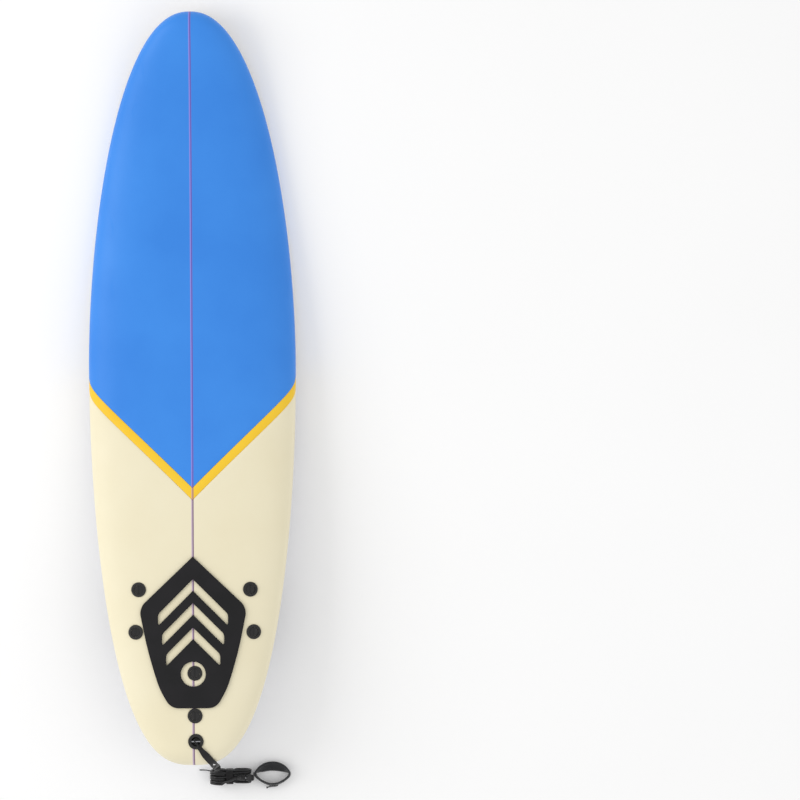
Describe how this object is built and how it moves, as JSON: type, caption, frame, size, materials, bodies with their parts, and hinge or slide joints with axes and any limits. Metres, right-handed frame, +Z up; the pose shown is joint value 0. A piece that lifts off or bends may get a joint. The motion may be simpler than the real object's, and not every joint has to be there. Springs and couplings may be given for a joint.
{
  "type": "soft-top surfboard",
  "caption": "Soft-top surfboard with three bolt-on fins, traction pad and ankle leash; rests nose down on its side fins and belly.",
  "frame": {"origin": "on the floor under the middle of the board's own box, leash left out", "axes": "+X to the nose, +Y to the rider's left, +Z up; the board rests on its side fins and its belly, so its deck tilts 6.4 degrees nose down"},
  "size_m": [1.7753, 0.468, 0.2156],
  "materials": {
    "foam_core": "closed-cell expanded foam, matt",
    "stringer_ply": "thin plywood",
    "deck_blue": "soft closed-cell foam skin, blue, satin",
    "deck_yellow": "soft closed-cell foam skin, yellow, satin",
    "deck_cream": "soft closed-cell foam skin, cream, satin",
    "slick_grey": "slick polyethylene sheet, light grey, semi-gloss",
    "pad_foam": "dense EVA foam, charcoal, matt",
    "fin_plastic": "moulded plastic, black, satin",
    "sleeve_plastic": "moulded tube, natural white",
    "brass_insert": "turned brass",
    "fixing_plastic": "moulded nylon, black, satin",
    "stainless": "stainless steel",
    "leash_cord": "urethane cord, black, satin",
    "leash_cord_string": "braided cord, black",
    "swivel_plastic": "moulded plastic, black",
    "webbing": "woven nylon webbing, black",
    "cuff_neoprene": "padded band with a woven face, dark grey"
  },
  "bodies": {
    "root": {"left_foam_blank": "foam_core", "right_foam_blank": "foam_core", "stringer": "stringer_ply", "nose_deck_skin": "deck_blue", "deck_stripe": "deck_yellow", "tail_deck_skin": "deck_cream", "bottom_skin": "slick_grey", "traction_pad": "pad_foam", "left_fin": "fin_plastic", "right_fin": "fin_plastic", "centre_fin": "fin_plastic", "left_fin_sleeves": "sleeve_plastic", "right_fin_sleeves": "sleeve_plastic", "centre_fin_sleeves": "sleeve_plastic", "left_fin_inserts": "brass_insert", "right_fin_inserts": "brass_insert", "centre_fin_inserts": "brass_insert", "left_fin_washers": "fixing_plastic", "right_fin_washers": "fixing_plastic", "centre_fin_washers": "fixing_plastic", "leash_plug_cup": "fixing_plastic", "leash_plug_bar": "stainless", "leash_plug_base": "fixing_plastic", "leash_string": "leash_cord_string", "rail_saver": "webbing", "saver_swivel_yoke": "swivel_plastic", "saver_cord_end": "swivel_plastic", "leash_lead": "leash_cord", "leash_hank": "leash_cord", "hank_tie": "webbing", "tie_string": "leash_cord_string", "cuff_lead": "leash_cord", "cuff_cord_end": "swivel_plastic", "cuff_swivel_yoke": "swivel_plastic", "cuff_tab": "webbing", "ankle_cuff": "cuff_neoprene"},
    "left_front_fin_screw_body": {"left_front_fin_screw": "fixing_plastic"},
    "left_rear_fin_screw_body": {"left_rear_fin_screw": "fixing_plastic"},
    "right_front_fin_screw_body": {"right_front_fin_screw": "fixing_plastic"},
    "right_rear_fin_screw_body": {"right_rear_fin_screw": "fixing_plastic"},
    "centre_front_fin_screw_body": {"centre_front_fin_screw": "fixing_plastic"},
    "centre_rear_fin_screw_body": {"centre_rear_fin_screw": "fixing_plastic"},
    "saver_pin_body": {"saver_swivel_pin": "stainless"},
    "cuff_pin_body": {"cuff_swivel_pin": "stainless"},
    "cuff_flap_body": {"cuff_flap": "cuff_neoprene"}
  },
  "joints": [
    {"name": "left_front_fin_screw_turn", "type": "hinge", "parent": "root", "child": "left_front_fin_screw_body", "pos_m": [-0.45745, 0.12248, 0.10017], "axis": [0.1433, 0, 0.9897], "continuous": true},
    {"name": "left_rear_fin_screw_turn", "type": "hinge", "parent": "root", "child": "left_rear_fin_screw_body", "pos_m": [-0.55225, 0.12951, 0.11389], "axis": [0.1433, 0, 0.9897], "continuous": true},
    {"name": "right_front_fin_screw_turn", "type": "hinge", "parent": "root", "child": "right_front_fin_screw_body", "pos_m": [-0.45745, -0.12948, 0.10017], "axis": [0.1433, 0, 0.9897], "continuous": true},
    {"name": "right_rear_fin_screw_turn", "type": "hinge", "parent": "root", "child": "right_rear_fin_screw_body", "pos_m": [-0.55225, -0.13651, 0.11389], "axis": [0.1433, 0, 0.9897], "continuous": true},
    {"name": "centre_front_fin_screw_turn", "type": "hinge", "parent": "root", "child": "centre_front_fin_screw_body", "pos_m": [-0.64447, -0.0035, 0.12724], "axis": [0.1433, 0, 0.9897], "continuous": true},
    {"name": "centre_rear_fin_screw_turn", "type": "hinge", "parent": "root", "child": "centre_rear_fin_screw_body", "pos_m": [-0.73952, -0.0035, 0.141], "axis": [0.1433, 0, 0.9897], "continuous": true},
    {"name": "saver_swivel_turn", "type": "hinge", "parent": "root", "child": "saver_pin_body", "pos_m": [-0.866, -0.049, 0.09], "axis": [0.2419, 0, 0.9703], "continuous": true},
    {"name": "cuff_swivel_turn", "type": "hinge", "parent": "root", "child": "cuff_pin_body", "pos_m": [-0.897, -0.127, 0.046], "axis": [0, -1, 0], "continuous": true},
    {"name": "cuff_flap_open", "type": "hinge", "parent": "root", "child": "cuff_flap_body", "pos_m": [-0.9245, -0.1615, 0.003], "axis": [0, 0, -1], "range_deg": [0, 120]}
  ]
}
